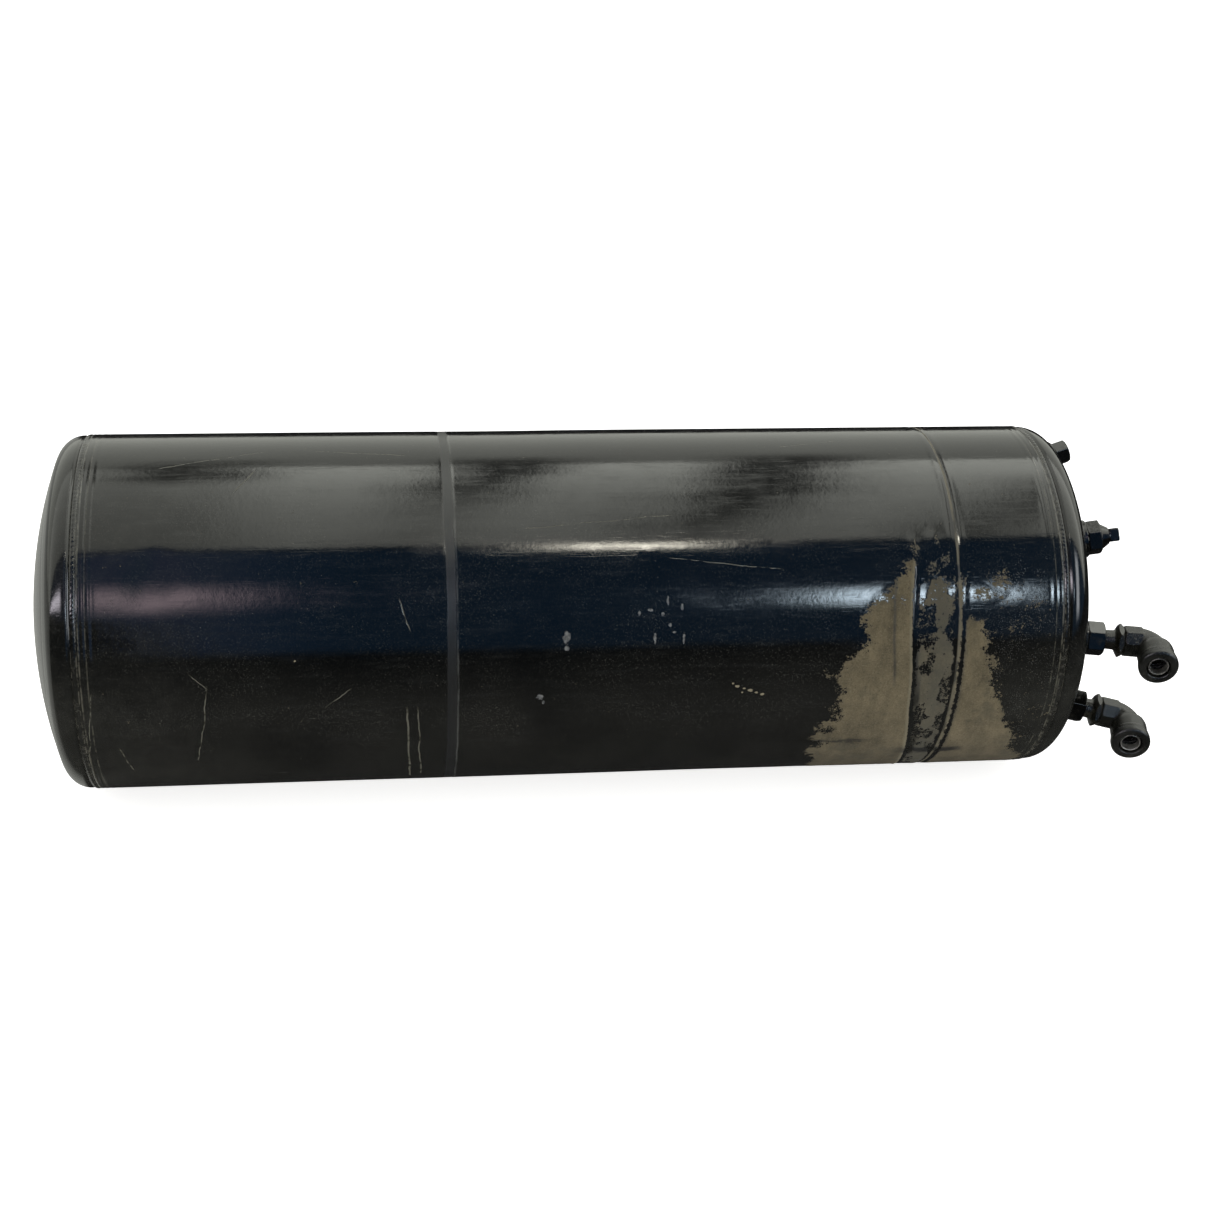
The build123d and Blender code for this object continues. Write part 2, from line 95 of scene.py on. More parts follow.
# ------------------------------------------------------------------ node helpers
class Net:
    """Short names for building a node tree."""

    def __init__(self, tree):
        self.t = tree

    def put(self, sock, v):
        if isinstance(v, bpy.types.NodeSocket):
            self.t.links.new(v, sock)
        elif v is not None:
            sock.default_value = v

    def math(self, op, a, b=None, c=None, clamp=False):
        n = self.t.nodes.new("ShaderNodeMath")
        n.operation = op
        n.use_clamp = clamp
        for i, v in enumerate((a, b, c)):
            if v is not None:
                self.put(n.inputs[i], v)
        return n.outputs[0]

    def add(self, a, b):
        return self.math("ADD", a, b)

    def sub(self, a, b):
        return self.math("SUBTRACT", a, b)

    def mul(self, a, b, clamp=False):
        return self.math("MULTIPLY", a, b, clamp=clamp)

    def mx(self, a, b):
        return self.math("MAXIMUM", a, b)

    def mn(self, a, b):
        return self.math("MINIMUM", a, b)

    def step(self, v, lo, hi, to0=0.0, to1=1.0):
        n = self.t.nodes.new("ShaderNodeMapRange")
        n.interpolation_type = "SMOOTHSTEP"
        self.put(n.inputs["Value"], v)
        n.inputs["From Min"].default_value = lo
        n.inputs["From Max"].default_value = hi
        n.inputs["To Min"].default_value = to0
        n.inputs["To Max"].default_value = to1
        return n.outputs[0]

    def lin(self, v, lo, hi, to0=0.0, to1=1.0):
        n = self.t.nodes.new("ShaderNodeMapRange")
        self.put(n.inputs["Value"], v)
        n.inputs["From Min"].default_value = lo
        n.inputs["From Max"].default_value = hi
        n.inputs["To Min"].default_value = to0
        n.inputs["To Max"].default_value = to1
        return n.outputs[0]

    def window(self, v, a, b, soft):
        """1 between a and b, falling to 0 over soft."""
        return self.mul(self.step(v, a - soft, a + soft), self.step(v, b - soft, b + soft, 1.0, 0.0))

    def bump_at(self, v, centre, width):
        """Smooth hump round centre; centre may be a socket."""
        d = self.math("ABSOLUTE", self.sub(v, centre))
        return self.step(d, 0.0, width, 1.0, 0.0)

    def xyz(self, v):
        n = self.t.nodes.new("ShaderNodeSeparateXYZ")
        self.put(n.inputs[0], v)
        return n.outputs

    def join(self, x, y, z):
        n = self.t.nodes.new("ShaderNodeCombineXYZ")
        for s, v in zip(n.inputs, (x, y, z)):
            self.put(s, v)
        return n.outputs[0]

    def obj(self):
        return self.t.nodes.new("ShaderNodeTexCoord").outputs["Object"]

    def noise(self, vec, scale, detail=3.0, rough=0.55, dist=0.0):
        n = self.t.nodes.new("ShaderNodeTexNoise")
        self.put(n.inputs["Vector"], vec)
        n.inputs["Scale"].default_value = scale
        n.inputs["Detail"].default_value = detail
        n.inputs["Roughness"].default_value = rough
        n.inputs["Distortion"].default_value = dist
        return n.outputs["Fac"]

    def voro(self, vec, scale, feature="F1"):
        n = self.t.nodes.new("ShaderNodeTexVoronoi")
        n.feature = feature
        self.put(n.inputs["Vector"], vec)
        n.inputs["Scale"].default_value = scale
        return n.outputs["Distance"]

    def stretch(self, vec, sx, sy, sz):
        n = self.t.nodes.new("ShaderNodeVectorMath")
        n.operation = "MULTIPLY"
        self.put(n.inputs[0], vec)
        n.inputs[1].default_value = (sx, sy, sz)
        return n.outputs[0]

    def mix(self, f, a, b):
        n = self.t.nodes.new("ShaderNodeMix")
        n.data_type = "RGBA"
        self.put(n.inputs["Factor"], f)
        for name, v in (("A", a), ("B", b)):
            s = [i for i in n.inputs if i.name == name and i.type == "RGBA"][0]
            self.put(s, v if isinstance(v, bpy.types.NodeSocket) else (*v, 1.0))
        return [o for o in n.outputs if o.type == "RGBA"][0]

    def attr(self, name):
        n = self.t.nodes.new("ShaderNodeAttribute")
        n.attribute_name = name
        return n.outputs["Fac"]

    def bump(self, height, strength, distance, normal=None):
        n = self.t.nodes.new("ShaderNodeBump")
        n.inputs["Strength"].default_value = strength
        n.inputs["Distance"].default_value = distance
        self.put(n.inputs["Height"], height)
        if normal is not None:
            self.put(n.inputs["Normal"], normal)
        return n.outputs[0]


def new_mat(name):
    m = bpy.data.materials.new(name)
    m.use_nodes = True
    b = m.node_tree.nodes["Principled BSDF"]
    return m, Net(m.node_tree), b


# ------------------------------------------------------------------ floor and studio
def floor_piece():
    me = bpy.data.meshes.new("floor")
    s = 9.0
    me.from_pydata([(-s, -s, -R - 0.0003), (s, -s, -R - 0.0003), (s, s, -R - 0.0003), (-s, s, -R - 0.0003)], [], [(0, 1, 2, 3)])
    ob = bpy.data.objects.new("floor", me)
    sc.collection.objects.link(ob)
    m, n, b = new_mat("floor_white")
    b.inputs["Roughness"].default_value = 0.9
    n.put(b.inputs["Base Color"], n.mix(n.noise(n.obj(), 3.0), (0.90, 0.90, 0.90), (0.915, 0.915, 0.912)))
    b.inputs["Emission Color"].default_value = (1.0, 0.995, 0.985, 1.0)
    b.inputs["Emission Strength"].default_value = 0.78
    me.materials.append(m)
    ob.visible_glossy = False


floor_piece()


def studio():
    """Soft boxes overhead with gaps between them, a pale wall behind, a dim room in front."""
    w = bpy.data.worlds.new("studio")
    sc.world = w
    w.use_nodes = True
    n = Net(w.node_tree)
    bg = w.node_tree.nodes["Background"]
    d = n.xyz(w.node_tree.nodes.new("ShaderNodeTexCoord").outputs["Generated"])
    u = d[0]
    # 0 = level towards the front, 90 = straight up, 180 = level towards the back
    v = n.mul(n.math("ARCTAN2", d[2], n.mul(d[1], -1.0)), 57.29578)
    wav = n.mul(n.sub(n.noise(n.stretch(n.join(u, n.mul(v, 0.01), 0.0), 1, 1, 1), 7.0, 3.0), 0.5), 0.06)
    uw = n.add(u, wav)
    # overhead boxes
    over = n.window(v, 68.0, 133.0, 1.3)
    level = n.lin(v, 72.0, 124.0, 1.85, 3.3)
    rag = n.mul(n.sub(n.noise(n.join(n.mul(u, 9.0), n.mul(v, 0.10), 0.0), 1.0, 4.0, 0.7), 0.5), 0.034)
    ug = n.add(uw, rag)
    g1 = n.bump_at(ug, n.lin(v, 72.0, 136.0, 0.030, 0.082), 0.046)
    g1 = n.mul(g1, n.step(v, 84.0, 122.0, 0.28, 0.84))
    g2 = n.bump_at(ug, n.lin(v, 76.0, 133.0, 0.172, 0.218), 0.050)
    g2 = n.mul(g2, n.step(v, 70.0, 104.0, 0.42, 1.0))
    g3 = n.bump_at(ug, n.lin(v, 70.0, 105.0, 0.308, 0.352), 0.040)
    g3 = n.mul(g3, n.step(v, 106.0, 122.0, 0.62, 0.0))
    g0 = n.bump_at(ug, n.lin(v, 112.0, 134.0, -0.100, -0.074), 0.046)
    g0 = n.mul(g0, n.step(v, 114.0, 124.0, 0.0, 0.80))
    gaps = n.mn(n.mul(n.mx(n.mx(g0, g1), n.mx(g2, g3)), 1.45), 1.0)
    left = n.step(u, -0.085, -0.035, 0.50, 1.0)
    right = n.step(u, 0.36, 0.42, 1.0, 0.8)
    boxes = n.mul(n.mul(n.mul(over, level), n.mul(left, right)), n.sub(1.0, n.mul(gaps, 0.96)))
    # wall behind, crossed by the same dark gaps near its lower edge
    back = n.mul(n.step(v, 132.0, 135.0), n.mul(n.lin(v, 135.0, 180.0, 1.05, 1.0), n.sub(1.0, n.mul(gaps, n.step(v, 136.0, 144.0, 0.75, 0.0)))))
    # pale ground far behind to the left
    ground = n.mul(n.mul(n.step(v, -100.0, -112.0), n.step(u, -0.20, -0.145, 1.0, 0.0)), 0.42)
    # dim room in front, a little brighter to the left, black at the far left
    room = n.mul(n.step(u, -0.12, 0.02, 0.34, 0.135), n.step(u, -0.35, -0.20, 0.35, 1.0))
    cut = n.step(n.sub(v, n.mul(n.step(u, -0.125, -0.085, 1.0, 0.0), 24.0)), -3.0, 4.0)
    front = n.mul(n.mul(cut, n.step(v, 64.0, 70.0, 1.0, 0.0)), room)
    # small lamps in the room
    lamp = n.mul(n.bump_at(v, n.add(66.0, n.mul(wav, 22.0)), 3.4), n.window(u, 0.108, 0.164, 0.022))
    blue = n.mul(n.bump_at(v, n.add(28.0, n.mul(u, 6.0)), 8.5), n.window(n.add(u, n.mul(wav, 0.3)), 0.246, 0.318, 0.011))
    pink = n.mul(n.bump_at(v, n.add(37.0, n.mul(wav, 60.0)), 12.0), n.window(u, -0.150, -0.072, 0.02))
    side = n.mul(n.bump_at(v, 38.0, 11.0), n.step(u, -0.62, -0.42, 1.0, 0.0))
    strip = n.mul(n.window(v, 12.0, 58.0, 8.0), n.window(u, 0.62, 0.80, 0.04))

    def tint(val, rgb):
        x = n.t.nodes.new("ShaderNodeVectorMath")
        x.operation = "SCALE"
        x.inputs[0].default_value = rgb
        n.put(x.inputs["Scale"], val)
        return x.outputs[0]

    def plus(a, b):
        x = n.t.nodes.new("ShaderNodeVectorMath")
        x.operation = "ADD"
        n.put(x.inputs[0], a)
        n.put(x.inputs[1], b)
        return x.outputs[0]

    total = tint(boxes, (1.0, 1.02, 0.93))
    leftish = n.step(u, -0.12, 0.0, 1.0, 0.0)
    for val, rgb in ((back, (1.0, 1.02, 0.92)), (n.mul(front, n.sub(1.0, leftish)), (0.18, 0.80, 1.75)), (n.mul(front, leftish), (0.50, 0.70, 1.35)),
                     (lamp, (30.0, 28.5, 24.0)), (blue, (19.0, 23.0, 26.0)), (pink, (3.5, 2.6, 2.7)), (side, (9.0, 8.4, 9.2)),
                     (strip, (5.0, 5.2, 5.4)), (ground, (1.0, 1.02, 0.94)), (1.0, (0.018, 0.018, 0.018))):
        total = plus(total, tint(val, rgb))
    # soft even fill for everything that is not a mirror reflection
    lp = n.t.nodes.new("ShaderNodeLightPath")
    n.put(bg.inputs["Color"], n.mix(lp.outputs["Is Glossy Ray"], (1.0, 1.0, 0.99), total))
    bg.inputs["Strength"].default_value = 1.0


studio()


# ------------------------------------------------------------------ smooth noise for the shapes
def vnoise(p, scale, seed):
    q = p * scale
    i = np.floor(q).astype(np.int64)
    f = q - i
    f = f * f * (3 - 2 * f)
    out = np.zeros(len(p))
    for dx in (0, 1):
        for dy in (0, 1):
            for dz in (0, 1):
                h = (i[:, 0] + dx) * 374761393 + (i[:, 1] + dy) * 668265263 + (i[:, 2] + dz) * 2147483647 + seed * 974711
                h = (h ^ (h >> 13)) * 1274126177
                h = (h ^ (h >> 16)) & 0xFFFFFF
                w = (f[:, 0] if dx else 1 - f[:, 0]) * (f[:, 1] if dy else 1 - f[:, 1]) * (f[:, 2] if dz else 1 - f[:, 2])
                out += w * (h / float(0xFFFFFF))
    return out


def fbm(p, scale, seed, octaves=4):
    a, s, tot = 0.0, 1.0, 0.0
    for k in range(octaves):
        a = a + s * vnoise(p, scale * 2 ** k, seed + 17 * k)
        tot += s
        s *= 0.5
    return a / tot


def smooth(x, a, b):
    t = np.clip((x - a) / (b - a), 0, 1)
    return t * t * (3 - 2 * t)


def mesh_piece(name, verts, faces, mat, body, replaced=(), attrs=None, shade=True):
    me = bpy.data.meshes.new(name)
    me.from_pydata([tuple(v) for v in verts], [], [tuple(f) for f in faces])
    me.validate()
    if attrs:
        for k, val in attrs.items():
            a = me.attributes.new(k, "FLOAT", "POINT")
            a.data.foreach_set("value", np.asarray(val, np.float32))
    if shade:
        me.polygons.foreach_set("use_smooth", np.ones(len(me.polygons), bool))
    me.materials.append(mat)
    me.update()
    ob = bpy.data.objects.new(name, me)
    sc.collection.objects.link(ob)
    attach(ob, body)
    if replaced:
        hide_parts(*replaced)
    return ob


def grid_faces(rows, cols, base=0, wrap=True, flip=False):
    r = np.arange(rows - 1)[:, None]
    c = np.arange(cols if wrap else cols - 1)[None, :]
    c2 = (c + 1) % cols
    f = np.stack([r * cols + c + 0 * r, r * cols + c2 + 0 * r, (r + 1) * cols + c2, (r + 1) * cols + c], -1).reshape(-1, 4) + base
    return f[:, ::-1] if flip else f


# ------------------------------------------------------------------ paint
def arc_coords(n):
    """x along the tank and s round it, both in mm; s = 0 faces the front, positive upwards."""
    o = n.xyz(n.obj())
    phi = n.math("ARCTAN2", o[2], n.mul(o[1], -1.0))
    return n.mul(o[0], 1000.0), n.mul(phi, R * 1000.0), o


def segment(n, x, s, a, b, width, wob=None):
    """Mask along a scratch from a to b, in mm."""
    ax, ay = a
    bx, by = b
    L = math.hypot(bx - ax, by - ay)
    tx, ty = (bx - ax) / L, (by - ay) / L
    rx, ry = n.sub(x, ax), n.sub(s, ay)
    along = n.add(n.mul(rx, tx), n.mul(ry, ty))
    across = n.sub(n.mul(rx, -ty), n.mul(ry, -tx))
    if wob is not None:
        across = n.add(across, wob)
    return n.mul(n.step(n.math("ABSOLUTE", across), width * 0.5, width, 1.0, 0.0), n.window(along, 0.0, L, min(4.0, L * 0.15)))


def blob(n, x, s, c, rx, ry, rag, soft=0.25):
    """Ragged chip round c, in mm."""
    dx = n.mul(n.sub(x, c[0]), 1.0 / rx)
    dy = n.mul(n.sub(s, c[1]), 1.0 / ry)
    d = n.math("SQRT", n.add(n.mul(dx, dx), n.mul(dy, dy)))
    return n.step(n.add(d, rag), 1.0 - soft, 1.0, 1.0, 0.0)


CHIPS = [((-13.2, 42.4), 2.8, 4.6), ((-13.4, 34.6), 2.0, 1.8), ((-31.0, -1.6), 2.4, 2.3), ((-28.5, -6.0), 1.0, 1.6),
         ((43.7, 59.7), 2.3, 0.9), ((56.2, 65.5), 0.9, 2.8), ((47.1, 40.5), 1.2, 4.2), ((57.4, 49.1), 1.5, 1.1),
         ((67.2, 39.5), 0.8, 4.6), ((52.5, 57.0), 1.2, 1.4), ((36.5, 57.5), 0.8, 1.8), ((66.0, 61.5), 1.0, 2.4), ((60.5, 44.0), 1.3, 0.7)]
SPECKS = [((106.5, 3.1), 1.9, 1.0), ((111.0, 1.0), 1.2, 0.7), ((115.3, -0.6), 2.1, 1.2), ((119.8, -2.6), 1.4, 0.8), ((124.1, -4.2), 1.7, 1.0),
          ((109.8, -2.2), 0.8, 0.6), ((103.0, 5.4), 0.8, 0.7), ((-196.0, 30.0), 0.9, 0.9)]
SCRATCHES = [((-254.5, 10.7), (-258.0, -15.0), 0.55), ((-258.0, -15.0), (-264.7, -54.8), 0.45), ((-268.0, 24.0), (-254.5, 12.0), 0.35),
             ((-176.9, -5.0), (-159.9, 7.9), 0.45), ((-315.6, -40.0), (-309.0, -66.0), 0.55), ((-330.0, 8.0), (-338.0, -60.0), 0.45),
             ((-125.4, 69.9), (-119.0, 49.6), 0.5), ((-121.5, -9.3), (-118.5, -97.2), 0.8), ((-114.3, -9.3), (-111.0, -90.0), 0.6),
             ((-285.0, 176.0), (-215.0, 196.0), 0.4), ((-235.0, 150.0), (-222.0, 172.0), 0.45), ((-180.0, 196.0), (-120.0, 189.0), 0.4),
             ((-40.0, 118.0), (60.0, 127.0), 0.35), ((60.0, 95.0), (135.0, 86.0), 0.35), ((150.0, 196.0), (190.0, 204.0), 0.4)]


def paint(name, barrel=False, weld=False, dust=1.0):
    """Gloss black enamel: orange peel, rub marks, haze, dust and, on the barrel, chips, strap marks and dried mud,
    with a painted reflection and a painted highlight on the first strap mark and painted highlights and painted shade
    on the mud.
    """
    m, n, b = new_mat(name)
    x, s, o = arc_coords(n)
    P = n.obj()
    cloud = n.noise(P, 9.0, 5.0, 0.6)
    mid = n.noise(P, 38.0, 5.0, 0.65)
    fine = n.noise(P, 420.0, 3.0, 0.6)
    # long rubbing marks run mostly along the tank
    rub = n.noise(n.stretch(P, 14.0, 260.0, 260.0), 1.0, 4.0, 0.7)
    rub = n.step(rub, 0.56, 0.74)
    hair = n.step(n.noise(n.stretch(P, 30.0, 900.0, 900.0), 1.0, 2.0, 0.6), 0.60, 0.70)
    # lower half carries more dust than the rest
    low = n.step(n.math("MULTIPLY", s, 1.0), -20.0, 45.0, 1.0, 0.0)
    haze = n.add(n.mul(low, n.lin(cloud, 0.3, 0.7, 0.55, 1.15)), n.mul(n.step(mid, 0.5, 0.8), 0.10))
    endz = n.add(n.step(x, -345.0, -180.0, 1.0, 0.0), n.mul(n.step(x, 262.0, 345.0), n.step(s, -30.0, 60.0, 1.15, 0.25)))
    haze = n.mul(n.add(haze, n.mul(n.mul(endz, n.lin(n.noise(P, 95.0, 5.0, 0.75), 0.36, 0.62, 0.55, 1.35)), n.mul(n.lin(mid, 0.35, 0.65, 0.35, 1.0), 0.9))), dust)
    col = n.mix(n.lin(cloud, 0.35, 0.65), (0.0008, 0.0011, 0.0014), (0.0016, 0.0018, 0.0018))
    col = n.mix(n.mul(haze, 0.62, clamp=True), col, (0.0150, 0.0150, 0.0130))
    col = n.mix(n.mul(rub, n.lin(mid, 0.3, 0.7, 0.0, 0.16)), col, (0.026, 0.026, 0.022))
    rough = n.add(n.lin(mid, 0.3, 0.75, 0.060, 0.135), n.add(n.mul(rub, 0.06), n.mul(low, 0.08)))
    # sparse dust specks
    sp = n.step(n.voro(P, 210.0), 0.045, 0.075, 1.0, 0.0)
    sp = n.mul(sp, n.step(n.noise(P, 24.0, 2.0), 0.50, 0.62))
    col = n.mix(n.mul(sp, 0.75), col, (0.105, 0.100, 0.084))
    grain = n.noise(P, 1000.0, 3.0, 0.7)
    patch = n.noise(P, 17.0, 4.0, 0.65)
    col = n.mix(n.mul(n.step(grain, 0.54, 0.68), n.lin(patch, 0.35, 0.65, 0.16, 0.60)), col, (0.042, 0.042, 0.036))
    feather = n.noise(n.stretch(P, 26.0, 240.0, 240.0), 1.0, 6.0, 0.78)
    col = n.mix(n.mul(n.step(feather, 0.50, 0.66), n.lin(patch, 0.35, 0.60, 0.08, 0.30)), col, (0.018, 0.019, 0.018))
    rough = n.add(rough, n.mul(n.step(feather, 0.50, 0.64), 0.05))
    peel = n.noise(P, 330.0, 3.0, 0.6)
    height = n.add(n.mul(peel, 0.75), n.add(n.mul(hair, -0.22), n.add(n.mul(n.noise(P, 70.0, 2.0), 0.9), n.mul(grain, 0.22))))
    if barrel:
        wob = n.mul(n.sub(n.noise(P, 75.0, 3.0), 0.5), 3.6)
        ax = n.add(n.math("ABSOLUTE", x), n.mul(wob, 0.15))
        seamline = n.mx(n.bump_at(ax, 336.4, 0.9), n.mul(n.bump_at(ax, 331.6, 0.8), 0.7))
        seamline = n.mul(seamline, n.step(n.noise(P, 130.0, 4.0, 0.7), 0.40, 0.58, 0.10, 1.0))
        col = n.mix(n.mul(seamline, 0.60), col, (0.105, 0.100, 0.078))
        rag = n.mul(n.sub(n.noise(P, 330.0, 4.0, 0.75), 0.5), 2.6)
        chips = None
        for c, rx, ry in CHIPS:
            k = blob(n, x, s, c, rx, ry, rag)
            chips = k if chips is None else n.mx(chips, k)
        specks = None
        for c, rx, ry in SPECKS:
            k = blob(n, x, s, c, rx, ry, rag)
            specks = k if specks is None else n.mx(specks, k)
        lines = None
        for a, c, wd in SCRATCHES:
            k = segment(n, x, s, a, c, wd, wob)
            lines = k if lines is None else n.mx(lines, k)
        lines = n.mul(lines, n.step(n.noise(P, 150.0, 2.0), 0.36, 0.55, 0.15, 1.0))
        # strap rub marks: a duller band whose pale grey is partly a painted reflection, a painted highlight along its
        # right edge, and a tan ridge with dark lines either side
        e1 = n.mul(n.sub(n.noise(P, 60.0, 3.0), 0.5), 1.8)
        rub_band_and_painted_reflection = n.window(n.add(x, e1), -94.2, -87.6, 0.8)
        painted_highlight_edge = n.mul(n.bump_at(n.add(x, e1), -86.9, 1.1), n.step(mid, 0.35, 0.6))
        ring2 = n.bump_at(n.add(x, n.mul(e1, 0.6)), 261.6, 1.5)
        ring2d = n.mx(n.bump_at(x, 258.9, 1.6), n.bump_at(x, 264.6, 1.6))
        r2on = n.step(n.noise(P, 55.0, 3.0), 0.33, 0.52, 0.25, 1.0)
        # the band's pale grey is a painted reflection laid over the duller rubbed paint
        col = n.mix(n.mul(rub_band_and_painted_reflection, n.lin(mid, 0.3, 0.7, 0.55, 0.90)), col, (0.0135, 0.0140, 0.0140))
        # the bright line along the band's right edge is a painted highlight
        col = n.mix(n.mul(painted_highlight_edge, 0.5), col, (0.075, 0.078, 0.075))
        col = n.mix(n.mul(ring2d, 0.6), col, (0.004, 0.004, 0.004))
        col = n.mix(n.mul(n.mul(ring2, r2on), 0.75), col, (0.115, 0.100, 0.065))
        rough = n.mx(rough, n.mul(rub_band_and_painted_reflection, 0.36))
        rough = n.mx(rough, n.mul(ring2, 0.55))
        # tan blotches near the top of the second mark
        bl = n.mul(n.bump_at(x, 262.0, 9.0), n.mul(n.step(s, 150.0, 185.0), n.step(n.noise(P, 75.0, 4.0, 0.7), 0.56, 0.64)))
        col = n.mix(n.mul(bl, 0.6), col, (0.11, 0.095, 0.06))
        col = n.mix(n.mul(lines, 0.8), col, (0.085, 0.082, 0.060))
        col = n.mix(chips, col, n.mix(n.step(fine, 0.42, 0.6), (0.040, 0.042, 0.042), (0.115, 0.118, 0.115)))
        col = n.mix(specks, col, (0.155, 0.135, 0.085))
        flat = n.mx(chips, n.mx(specks, lines))
        rough = n.mx(rough, n.mul(flat, 0.6))
        height = n.sub(height, n.mul(flat, 0.8))
        # fine dirt to the right of the mud
        zone = n.mul(n.step(x, 265.0, 300.0), n.window(s, -70.0, 92.0, 22.0))
        dots = n.mx(n.step(n.voro(P, 900.0), 0.14, 0.30, 1.0, 0.0), n.step(n.voro(P, 430.0), 0.10, 0.22, 1.0, 0.0))
        dirt = n.mul(zone, n.mul(dots, n.step(n.noise(P, 85.0, 4.0, 0.7), 0.40, 0.60)))
        col = n.mix(n.mul(dirt, 0.60), col, (0.062, 0.061, 0.052))
        rough = n.mx(rough, n.mul(dirt, 0.6))
        # dried mud: attributes give its place and noise breaks its edges up
        mud = n.attr("mud")
        brk = n.add(mud, n.add(n.mul(n.sub(n.noise(P, 360.0, 4.0, 0.8), 0.5), 1.75), n.add(n.mul(n.sub(n.noise(P, 110.0, 4.0, 0.75), 0.5), 1.25),
                                                                                        n.mul(n.sub(n.noise(P, 1300.0, 2.0, 0.6), 0.5), 0.80))))
        mud_m = n.step(brk, 0.47, 0.58)
        tone = n.noise(n.stretch(P, 1.6, 0.9, 0.9), 42.0, 6.0, 0.72)
        grit = n.noise(P, 900.0, 3.0, 0.7)
        mcol = n.mix(n.lin(tone, 0.34, 0.66), (0.050, 0.040, 0.020), (0.104, 0.084, 0.046))
        mcol = n.mix(n.mul(n.step(grit, 0.52, 0.72), 0.45), mcol, (0.150, 0.128, 0.082))
        mcol = n.mix(n.mul(n.step(grit, 0.48, 0.30), 0.55), mcol, (0.022, 0.019, 0.012))
        # painted shade: the mud is darkened towards the bottom
        mud_painted_shade_low = n.step(s, -40.0, -110.0)
        mcol = n.mix(n.mul(mud_painted_shade_low, 0.55), mcol, (0.038, 0.031, 0.015))
        mcol = n.mix(n.mul(n.step(n.noise(P, 34.0, 4.0, 0.7), 0.52, 0.64), 0.45), mcol, (0.030, 0.028, 0.017))
        strap = n.mul(n.attr("strap"), n.lin(n.noise(n.stretch(P, 60.0, 14.0, 14.0), 1.0, 4.0), 0.3, 0.7, 0.55, 1.0))
        mcol = n.mix(n.mul(strap, 0.72), mcol, (0.040, 0.040, 0.031))
        dark = n.mul(n.attr("dark"), n.lin(n.noise(P, 120.0, 4.0, 0.7), 0.34, 0.50, 0.35, 1.0), clamp=True)
        mcol = n.mix(n.mul(dark, 0.88, clamp=True), mcol, (0.008, 0.008, 0.006))
        # painted highlight along the raised mud lip at the first strap line, plus the pale tan ridge of the second
        # line
        lip_highlight_and_tan_ridge = n.attr("lip_highlight_and_tan_ridge")
        mcol = n.mix(n.mul(lip_highlight_and_tan_ridge, 0.55), mcol, (0.135, 0.122, 0.082))
        col = n.mix(mud_m, col, mcol)
        rough = n.add(n.mul(n.sub(1.0, mud_m), rough), n.mul(mud_m, n.sub(0.90, n.mul(dark, 0.45))))
        height = n.add(height, n.mul(mud_m, n.add(1.6, n.add(n.mul(n.noise(P, 300.0, 4.0, 0.7), 1.8), n.mul(grit, 0.8)))))
        # black smear low on the front
        sn = n.mul(n.sub(n.noise(n.stretch(P, 60.0, 200.0, 200.0), 1.0, 4.0, 0.7), 0.5), 16.0)
        ss = n.add(s, sn)
        smear = n.mx(n.mul(n.window(x, 236.0, 280.0, 6.0), n.window(ss, -76.0, -68.5, 2.2)),
                     n.mul(n.mul(n.window(x, 160.0, 206.0, 6.0), n.window(ss, -56.5, -52.5, 1.2)), 0.8))
        col = n.mix(n.mul(smear, 0.85), col, (0.006, 0.006, 0.005))
    if weld:
        grime = n.step(n.noise(P, 110.0, 4.0, 0.7), 0.5, 0.66)
        col = n.mix(n.mul(grime, 0.45), col, (0.055, 0.052, 0.040))
        edge = n.mx(n.bump_at(n.math("ABSOLUTE", x), 338.0, 0.7), n.bump_at(n.math("ABSOLUTE", x), 342.0, 0.8))
        col = n.mix(n.mul(edge, n.step(n.noise(P, 210.0, 3.0, 0.6), 0.44, 0.60, 0.05, 0.60)), col, (0.120, 0.115, 0.092))
        rough = n.add(rough, n.mul(grime, 0.22))
        height = n.add(height, n.mul(n.noise(P, 240.0, 3.0), 0.8))
    n.put(b.inputs["Base Color"], col)
    n.put(b.inputs["Roughness"], rough)
    n.put(b.inputs["Normal"], n.bump(height, 0.32, 0.00012))
    return m


def plain_part(name, dark, light, rough0, rough1, metal=0.0, grain=700.0, grime=(0.05, 0.047, 0.035), grime_amt=0.35, bump=0.25, dist=0.00010,
               big=60.0):
    """Small-part finish: mottled tone, fine grain, grime in patches."""
    m, n, b = new_mat(name)
    P = n.obj()
    tone = n.noise(P, big, 5.0, 0.65)
    g = n.noise(P, grain, 3.0, 0.6)
    col = n.mix(n.lin(tone, 0.32, 0.68), dark, light)
    col = n.mix(n.mul(n.step(g, 0.60, 0.74), 0.35), col, tuple(min(1.0, c * 2.2 + 0.01) for c in light))
    gr = n.step(n.noise(P, 150.0, 5.0, 0.7), 0.54, 0.70)
    col = n.mix(n.mul(gr, grime_amt), col, grime)
    n.put(b.inputs["Base Color"], col)
    n.put(b.inputs["Roughness"], n.add(n.lin(tone, 0.3, 0.7, rough0, rough1), n.mul(gr, 0.15)))
    b.inputs["Metallic"].default_value = metal
    n.put(b.inputs["Normal"], n.bump(n.add(g, n.mul(gr, 0.6)), bump, dist))
    return m


